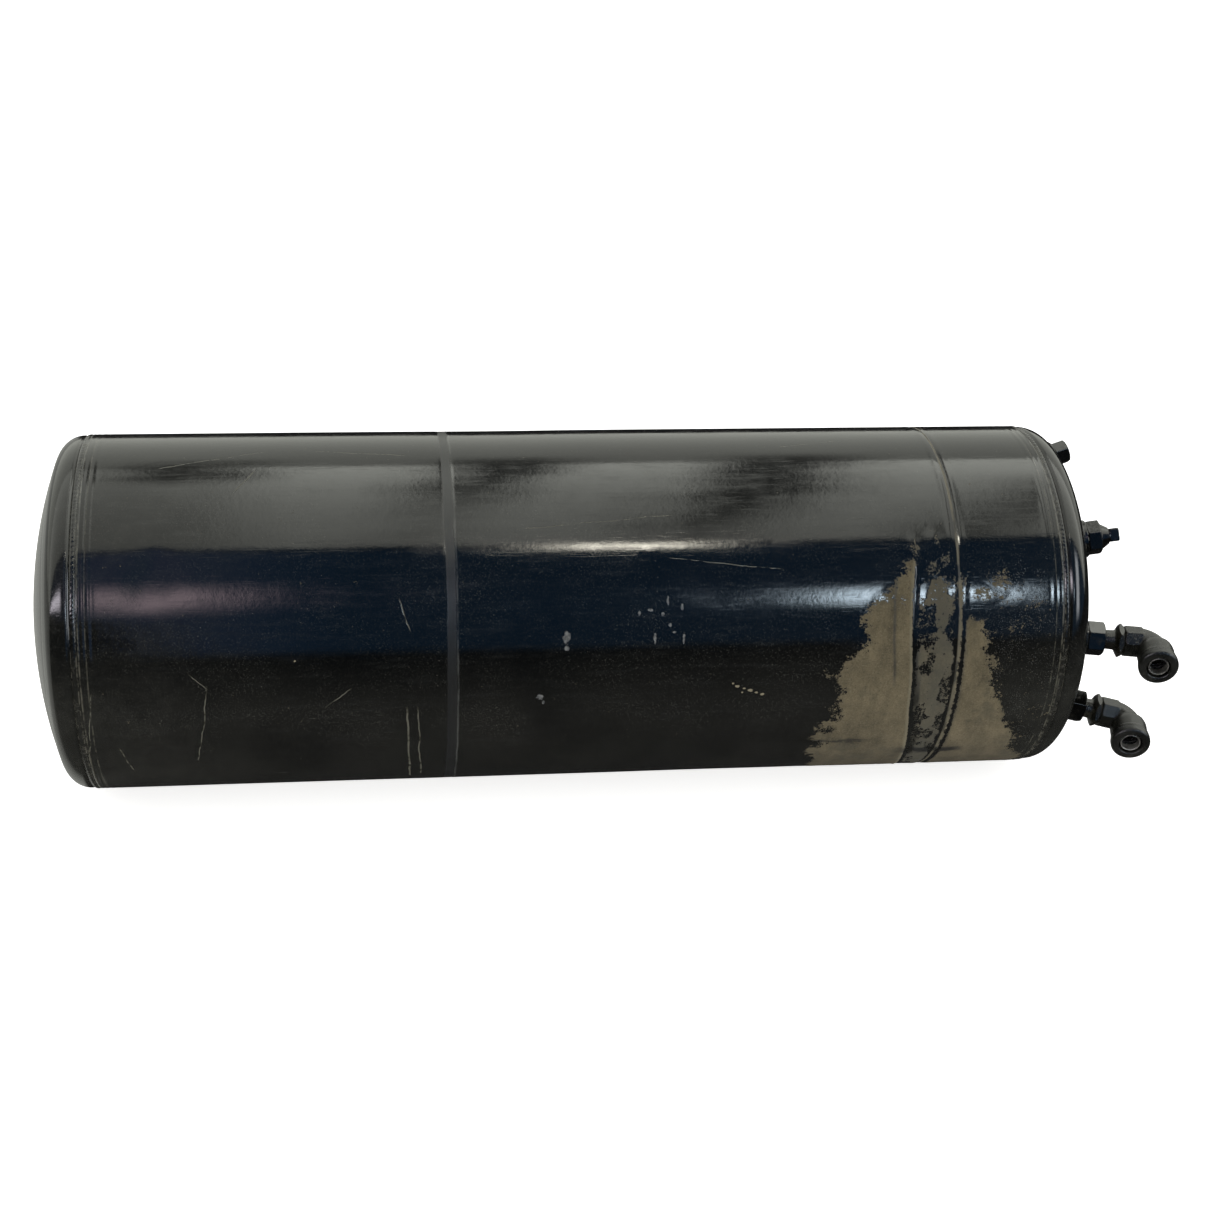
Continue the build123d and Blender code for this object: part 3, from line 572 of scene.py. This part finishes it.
M = {
    "barrel": paint("gloss_black_barrel", barrel=True),
    "head": paint("gloss_black_head"),
    "weld": paint("painted_weld_bead", weld=True),
    "boss": paint("painted_boss_black", dust=0.6),
    "fitting": plain_part("gloss_black_fitting", (0.0010, 0.0010, 0.0010), (0.0030, 0.0030, 0.0027), 0.07, 0.16, grime=(0.030, 0.028, 0.021),
                          grime_amt=0.30, grain=420.0, bump=0.30),
    "stem": plain_part("dark_stem_metal", (0.004, 0.004, 0.003), (0.014, 0.013, 0.009), 0.18, 0.38, grime=(0.045, 0.040, 0.026), grime_amt=0.45),
    "elbow": plain_part("elbow_glass_filled", (0.0028, 0.0029, 0.0023), (0.0105, 0.0106, 0.0080), 0.20, 0.36, grain=1000.0, bump=0.60,
                        grime=(0.050, 0.048, 0.034), grime_amt=0.42, dist=0.00018),
    "cap": plain_part("cap_moulded", (0.0034, 0.0036, 0.0032), (0.0110, 0.0111, 0.0094), 0.22, 0.38, grain=1000.0, grime=(0.048, 0.046, 0.036),
                      grime_amt=0.38, bump=0.5, dist=0.00016),
    "rubber": plain_part("nitrile_rubber", (0.010, 0.010, 0.010), (0.020, 0.020, 0.019), 0.55, 0.75),
    "spring": plain_part("spring_steel", (0.30, 0.30, 0.29), (0.45, 0.44, 0.42), 0.28, 0.42, metal=1.0, grime_amt=0.2),
    "collet": plain_part("dull_nickel", (0.14, 0.135, 0.12), (0.42, 0.41, 0.38), 0.34, 0.55, metal=0.75, grime_amt=0.45),
    "seal": plain_part("thread_sealant", (0.020, 0.018, 0.012), (0.055, 0.047, 0.030), 0.5, 0.7, grime_amt=0.5, bump=0.6),
}
SLOT_MAT = {"gloss_black_paint": "head", "painted_weld": "weld", "painted_boss": "boss", "painted_fitting": "fitting", "stem_metal": "stem",
            "elbow_composite": "elbow", "cap_composite": "cap", "seal_rubber": "rubber", "spring_steel": "spring", "collet_metal": "collet"}
for sp in frame["record"]["subparts"]:
    o = nodes[sp["node"]]
    o.data.materials.clear()
    o.data.materials.append(M[SLOT_MAT[sp["material_slot"]]])


# ------------------------------------------------------------------ barrel
def interp_edge(s, table):
    t = np.array(sorted(table))
    return np.interp(s, t[:, 0], t[:, 1])


def build_barrel():
    q = 1.0

    def graded(cuts):
        out = [np.linspace(a, b, max(2, int(round((b - a) / (st * q)))), endpoint=False) for a, b, st in cuts]
        return np.concatenate(out)

    xs = np.append(graded([(-BAR, -BAR + 0.020, 0.0007), (-BAR + 0.020, 0.158, 0.0016), (0.158, 0.338 - 0.021, 0.0007), (0.317, BAR, 0.0007)]), BAR)
    ph = graded([(-math.pi, -1.30, 0.020), (-1.30, -1.02, 0.010), (-1.02, 0.80, 0.0064), (0.80, math.pi, 0.016)])
    na, nx = len(ph), len(xs)
    X, PH = np.meshgrid(xs, ph, indexing="ij")
    X, PH = X.ravel(), PH.ravel()
    pt = np.stack([X, -R * np.cos(PH), R * np.sin(PH)], 1)
    xm, s = X * 1000, PH * R * 1000
    # slow waviness of rolled sheet and a few soft dents
    d = 0.00022 * (fbm(pt, 7.0, 3, 3) - 0.5) + 0.00006 * (fbm(pt * np.array([0.6, 1, 1]), 34.0, 9, 2) - 0.5)
    for cx, cs, rr, dep in ((-290, 83, 16, 0.00045), (-286, 98, 9, 0.00025), (40, 150, 40, 0.00022), (-200, -60, 35, 0.00025), (180, -95, 30, 0.0002),
                            (90, -150, 45, 0.0003), (-60, 250, 50, 0.0003)):
        q = ((xm - cx) / rr) ** 2 + ((s - cs) / rr) ** 2
        d -= dep * np.exp(-q)
    # fine rolled lines near each end seam
    for e in (-1, 1):
        t = BAR * 1000 - e * xm
        for pos, w, dep in ((1.8, 0.8, 0.00012), (5.4, 1.0, 0.00009), (9.8, 1.5, 0.00004)):
            d -= dep * np.exp(-((t - pos) / w) ** 2)
        d += 0.00004 * np.exp(-((t - 7.6) / 1.2) ** 2)
    # strap marks: a faint flat band and a faint line with a raised lip
    d -= 0.00007 * (smooth(xm, -95.0, -93.2) - smooth(xm, -88.4, -86.6))
    d -= 0.00016 * np.exp(-((xm - 261.6) / 1.6) ** 2)
    d += 0.00008 * (np.exp(-((xm - 257.8) / 2.2) ** 2) + np.exp(-((xm - 265.4) / 2.2) ** 2))
    # dried mud: a left field, a torn middle under the strap, a right field, and a few loose patches
    left = interp_edge(s, [(-130, 176), (-95, 173), (-46, 169), (-22, 176), (-4, 180), (9, 171), (23, 185), (40, 194), (58, 199), (70, 213),
                           (82, 222), (96, 230)])
    l1 = interp_edge(s, [(-130, 245), (-70, 239), (-20, 232), (14, 230), (34, 228), (62, 228), (88, 231)])
    right = interp_edge(s, [(-130, 338), (-94, 332), (-54, 316), (-23, 301), (4, 291), (28, 286), (50, 276)])
    e1 = (fbm(pt, 60.0, 21, 4) - 0.5) * 26
    e2 = (fbm(pt, 110.0, 22, 4) - 0.5) * 16
    n1 = fbm(pt, 70.0, 23, 4)
    n2 = fbm(pt * np.array([1.8, 1, 1]), 85.0, 24, 4)
    edge_l = np.minimum(xm - left + e1 * smooth(xm, 235, 215), 90 - s + e1)
    ml = smooth(edge_l, -9.0, 12.0) * smooth(l1 - 0.5 - xm, -1.5, 1.0) * (1 - 0.42 * smooth(s, 40, 74) * smooth(n1, 0.42, 0.58))
    fc = np.minimum(np.minimum(xm - l1 - 2.0, 259.0 - xm), 72 - s + 2.2 * e1)
    mc = smooth(fc, -2.0, 2.5) * (0.92 - 0.48 * smooth(n2, 0.44, 0.58)) * (1 - 0.25 * smooth(s, 20, 66))
    edge_r = np.minimum(right - xm + e2, 50 - s + e1)
    mr = smooth(edge_r, -9.0, 12.0) * smooth(xm - 266.0, -1.5, 1.5) * (1 - 0.30 * smooth(s, 0, 45) * smooth(n1, 0.44, 0.58))
    mud = np.maximum(np.maximum(ml, mc), mr)
    for cx, cs, rx, rs, top_v in ((245, 84, 7, 7, 0.56), (251, 90, 5, 6, 0.52), (291, 76, 11, 9, 0.52), (281, 66, 17, 7, 0.50), (262, 72, 7, 16, 0.44),
                                  (245, 70, 10, 9, 0.60), (231, 98, 5, 9, 0.50), (247, 106, 6, 7, 0.40), (306, 50, 26, 26, 0.27), (318, -40, 22, 60, 0.16),
                                  (190, -55, 20, 50, 0.30), (205, 45, 14, 20, 0.28), (283, 20, 18, 34, 0.34)):
        mud = np.maximum(mud, top_v * np.exp(-(((xm - cx) / rx) ** 2 + ((s - cs) / rs) ** 2) ** 1.4))
    mud = mud * smooth(s, -134, -118)
    band = smooth(xm, l1 - 0.5, l1 + 1.0) * (1 - smooth(xm, l1 + 2.6, l1 + 4.4)) * smooth(s, 96, 80) * smooth(s, -88, -76)
    wide = smooth(xm, l1 + 0.0, l1 + 1.2) * (1 - smooth(xm, l1 + 5.0, l1 + 7.0)) * smooth(s, 20, -10) * smooth(s, -88, -76)
    line2 = np.exp(-((xm - 262.6) / 1.5) ** 2) * smooth(s, -84, -74)
    thin = np.exp(-((xm - (l1 - 13.0)) / 0.9) ** 2) * smooth(s, 80, 70) * smooth(s, -4, 10)
    strap = smooth(xm, l1, l1 + 2) * (1 - smooth(xm, 259, 263))
    dark = np.clip(np.maximum(np.maximum(band, 0.9 * wide), np.maximum(0.8 * np.exp(-((xm - 265.0) / 1.6) ** 2) * smooth(s, -84, -74), 0.7 * thin)), 0, 1)
    # painted highlight along the mud lip at the first strap line, plus the tan ridge of the second line
    lip_highlight_and_tan_ridge = np.clip(np.maximum(np.exp(-((xm - l1 + 1.2) / 1.1) ** 2) * smooth(s, 96, 84), 0.8 * line2 * smooth(s, 130, 80)), 0, 1)
    mud = np.maximum(mud, 0.62 * line2 * smooth(s, 96, 70) * smooth(s, -90, -70))
    creases = 0.5 + 0.5 * np.sin(((xm - l1) + 7 * fbm(pt, 26.0, 51, 2)) / 2.1)
    thick = 0.00012 + 0.00036 * fbm(pt, 130.0, 61, 4)
    d += mud * (thick + 0.00014 * strap * creases) + 0.00032 * np.exp(-((xm - l1 + 1.0) / 1.3) ** 2) * mud * smooth(s, 96, 84)
    d -= 0.00026 * np.clip(band + 0.6 * wide, 0, 1) * smooth(s, 92, 80)
    rad = R + d
    verts = np.stack([X, -rad * np.cos(PH), rad * np.sin(PH)], 1)
    # the sheet's end faces and its inner wall close the shell
    ri = R - 0.0026
    xi = np.linspace(BAR, -BAR, 12)
    inner = np.stack([np.repeat(xi, na), -ri * np.cos(np.tile(ph, 12)), ri * np.sin(np.tile(ph, 12))], 1)
    allv = np.concatenate([verts, inner])
    rows = nx + 12
    f = grid_faces(rows, na)
    close = np.stack([np.arange(na) + (rows - 1) * na, (np.arange(na) + 1) % na + (rows - 1) * na, (np.arange(na) + 1) % na, np.arange(na)], -1)
    f = np.concatenate([f, close])
    pad = np.zeros(len(inner))
    ob = mesh_piece("barrel_skin", allv, f, M["barrel"], "tank", ("barrel_shell",),
                    {"mud": np.concatenate([mud, pad]), "strap": np.concatenate([strap, pad]), "dark": np.concatenate([dark, pad]),
                     "lip_highlight_and_tan_ridge": np.concatenate([lip_highlight_and_tan_ridge, pad])})
    return ob


build_barrel()


# ------------------------------------------------------------------ heads
def port_axis(k):
    y, z = PORT_YZ[k]
    x = CC_X + math.sqrt(CROWN ** 2 - y * y - z * z)
    o = np.array([x, y, z])
    nrm = np.array([x - CC_X, y, z])
    return o, nrm / np.linalg.norm(nrm)


def build_head(side, name, replaced):
    na = 480
    prof = []
    for a in np.linspace(0.0, KN_A, 118)[1:]:
        prof.append((CC_X + CROWN * math.cos(a), CROWN * math.sin(a)))
    for a in np.linspace(KN_A, math.pi / 2, 22)[1:]:
        prof.append((KC_X + KNUCKLE * math.cos(a), KC_R + KNUCKLE * math.sin(a)))
    prof += [(SEAM + 0.0001, HEAD_R - 0.0003), (SEAM - 0.0006, HEAD_R - 0.0009), (SEAM - 0.0030, R - 0.0022), (BAR, R - 0.0026),
             (BAR - 0.004, R - 0.0026), (SEAM - 0.020, R - 0.0026)]
    nout = len(prof)
    prof += [(SEAM - 0.020, R - 0.0056), (BAR, R - 0.0056)]
    for a in np.linspace(math.pi / 2, KN_A, 14):
        prof.append((KC_X + (KNUCKLE - 0.003) * math.cos(a), KC_R + (KNUCKLE - 0.003) * math.sin(a)))
    ro = CROWN - 0.003
    for a in np.linspace(KN_A, 0.0, 118)[1:-1]:
        prof.append((CC_X + ro * math.cos(a), ro * math.sin(a)))
    prof = np.array(prof)
    ph = np.linspace(0, 2 * math.pi, na, endpoint=False)
    rows = len(prof)
    X = np.repeat(prof[:, 0], na)
    Rr = np.repeat(prof[:, 1], na)
    A = np.tile(ph, rows)
    pt = np.stack([X, Rr * np.cos(A), Rr * np.sin(A)], 1)
    w = np.zeros(len(pt))
    w[: nout * na] = 1.0
    seedp = pt * np.array([side, 1, 1])
    lump = 0.00026 * (fbm(seedp + (7 if side > 0 else 0), 16.0, 71, 3) - 0.5) * smooth(R - Rr, 0.001, 0.012)
    press = 0.00010 * np.exp(-((Rr - (KC_R - 0.004)) / 0.0022) ** 2)
    pt[:, 0] += w * (lump - press)
    verts = pt * np.array([side, 1, 1])
    tips = np.array([[side * (CC_X + CROWN), 0, 0], [side * (CC_X + ro), 0, 0]])
    n0 = len(verts)
    f = [tuple(q) for q in grid_faces(rows, na, flip=(side > 0))]
    for j in range(na):
        a, b2 = j, (j + 1) % na
        t1, t2 = (rows - 1) * na + a, (rows - 1) * na + b2
        if side > 0:
            f.append((n0, a, b2))
            f.append((n0 + 1, t2, t1))
        else:
            f.append((n0, b2, a))
            f.append((n0 + 1, t1, t2))
    allv = np.concatenate([verts, tips])
    if side > 0:
        # open the four ports: drop the faces under each boss, pull the rim onto a circle, and wall the edge
        fa = f
        for k in PORT_YZ:
            o, nv = port_axis(k)
            hr = BOSS_R[k] - 0.0013
            rel = allv - o
            ax = rel @ nv
            perp = rel - ax[:, None] * nv
            dist = np.linalg.norm(perp, axis=1)
            near = (dist < hr) & (np.abs(ax) < 0.02)
            keep = []
            gone = []
            for q in fa:
                (gone if any(near[i] for i in q) else keep).append(q)
            used = {}
            for q in keep:
                for i in range(len(q)):
                    e = (q[i], q[(i + 1) % len(q)])
                    used[e] = True
            rim = [(a, c) for (a, c) in used if (c, a) not in used and dist[a] < hr + 0.006 and dist[c] < hr + 0.006
                   and abs(ax[a]) < 0.02 and abs(ax[c]) < 0.02]
            for i in set(i for e in rim for i in e):
                allv[i] = o + ax[i] * nv + perp[i] / dist[i] * (hr + 0.0006)
            # two loops, the outer face's and the inner face's, joined by angle
            nxt = dict(rim)
            loops = []
            todo = set(nxt)
            while todo:
                st = todo.pop()
                lp = [st]
                c = nxt[st]
                while c != st and c in todo:
                    lp.append(c)
                    todo.discard(c)
                    c = nxt[c]
                loops.append(lp)
            loops = sorted(loops, key=len)[-2:]
            if len(loops) == 2:
                u = np.cross(nv, [0, 0, 1.0])
                u /= np.linalg.norm(u)
                v = np.cross(nv, u)
                ang = lambda i: math.atan2((allv[i] - o) @ v, (allv[i] - o) @ u)
                la, lb = (loops[0], loops[1]) if ax[loops[0][0]] > ax[loops[1][0]] else (loops[1], loops[0])
                la = sorted(la, key=ang)
                lb = sorted(lb, key=ang)
                ia = ib = 0
                while ia < len(la) or ib < len(lb):
                    ta = ang(la[ia % len(la)]) + (2 * math.pi if ia >= len(la) else 0)
                    tb = ang(lb[ib % len(lb)]) + (2 * math.pi if ib >= len(lb) else 0)
                    a0, b0 = la[ia % len(la)], lb[ib % len(lb)]
                    na_ = ang(la[(ia + 1) % len(la)]) + (2 * math.pi if ia + 1 >= len(la) else 0)
                    nb_ = ang(lb[(ib + 1) % len(lb)]) + (2 * math.pi if ib + 1 >= len(lb) else 0)
                    if ib >= len(lb) or (ia < len(la) and na_ <= nb_):
                        keep.append((a0, b0, la[(ia + 1) % len(la)]))
                        ia += 1
                    else:
                        keep.append((a0, b0, lb[(ib + 1) % len(lb)]))
                        ib += 1
            fa = keep
        f = fa
        live = np.zeros(len(allv), bool)
        for q in f:
            for i in q:
                live[i] = True
        remap = np.cumsum(live) - 1
        f = [tuple(int(remap[i]) for i in q) for q in f]
        allv = allv[live]
    return mesh_piece(name, allv, f, M["head"], "tank", (replaced,))


build_head(1, "right_head_skin", "right_head")
build_head(-1, "left_head_skin", "left_head")


# ------------------------------------------------------------------ girth welds
def build_weld(side, name, replaced):
    na = 1500
    sk = R - 0.0026
    slope = (HEAD_R - 0.0009 - sk) / (WELD_W - 0.0006)
    base = [(0.0, R - 0.0005), (0.0003, R - 0.00066), (0.0006, R - 0.00074), (0.0009, R - 0.00055), (0.0012, R - 0.00026), (0.0016, R - 0.00012),
            (0.0020, R - 0.00005), (0.0024, R - 0.00002), (0.0028, R - 0.00005), (0.0032, R - 0.00012), (0.0036, R - 0.00032), (0.0040, R - 0.0006),
            (0.0043, R - 0.0009), (0.0046, R - 0.00115), (0.0051, sk + slope * 5.1e-3), (0.0025, sk + slope * 2.5e-3 - 0.0001), (0.0, sk)]
    nb = len(base)
    bx = np.array([p[0] for p in base])
    br = np.array([p[1] for p in base])
    ph = np.linspace(0, 2 * math.pi, na, endpoint=False)
    BX, PH = np.meshgrid(bx, ph, indexing="ij")
    BR, _ = np.meshgrid(br, ph, indexing="ij")
    crown = np.exp(-((BX - 0.0024) / 0.0013) ** 2)
    pt = np.stack([BX.ravel() * 0 + side, np.cos(PH).ravel() * R, np.sin(PH).ravel() * R], 1)
    wob = (fbm(pt, 60.0, 83, 3) - 0.5).reshape(BX.shape)
    rip = np.sin(PH * 2 * math.pi * R / 0.0034 / 1.0 + 11.0 * wob + (BX - 0.0024) * 700)
    outer = np.ones_like(BX)
    outer[14:] = 0.0
    calm = 0.35 + 0.65 * smooth(fbm(pt, 22.0, 91, 2), 0.40, 0.60).reshape(BX.shape)
    BR = BR + outer * (0.00010 * crown * rip * calm + 0.00016 * wob * crown)
    BX = BX + outer * crown * 0.0004 * wob
    X = side * (BAR + BX)
    verts = np.stack([X.ravel(), (-BR * np.cos(PH)).ravel(), (BR * np.sin(PH)).ravel()], 1)
    f = grid_faces(nb, na, flip=(side < 0))
    j = np.arange(na)
    close = np.stack([(nb - 1) * na + j, (nb - 1) * na + (j + 1) % na, (j + 1) % na, j], -1)
    if side < 0:
        close = close[:, ::-1]
    return mesh_piece(name, verts, np.concatenate([f, close]), M["weld"], "tank", (replaced,))


build_weld(1, "right_girth_bead", "right_head_weld")
build_weld(-1, "left_girth_bead", "left_head_weld")


# ------------------------------------------------------------------ fittings keep their CAD shapes and get softened edges; the stems stay
# exact because they turn in close bores
def remesh(name, voxel):
    o = nodes[name]
    r = o.modifiers.new("moulded", "REMESH")
    r.mode = "VOXEL"
    r.voxel_size = voxel
    r.use_smooth_shade = True
    s = o.modifiers.new("settle", "SMOOTH")
    s.factor = 0.5
    s.iterations = 3


VX = 0.0003
for k in (3, 4):
    remesh("elbow_body_%d" % k, VX)
    remesh("retainer_cap_%d" % k, VX * 0.8)
    remesh("elbow_bushing_%d" % k, VX)
for nm in ("hexagon_plug", "nosed_bushing", "square_head_plug", "port_boss_welds"):
    remesh(nm, VX)
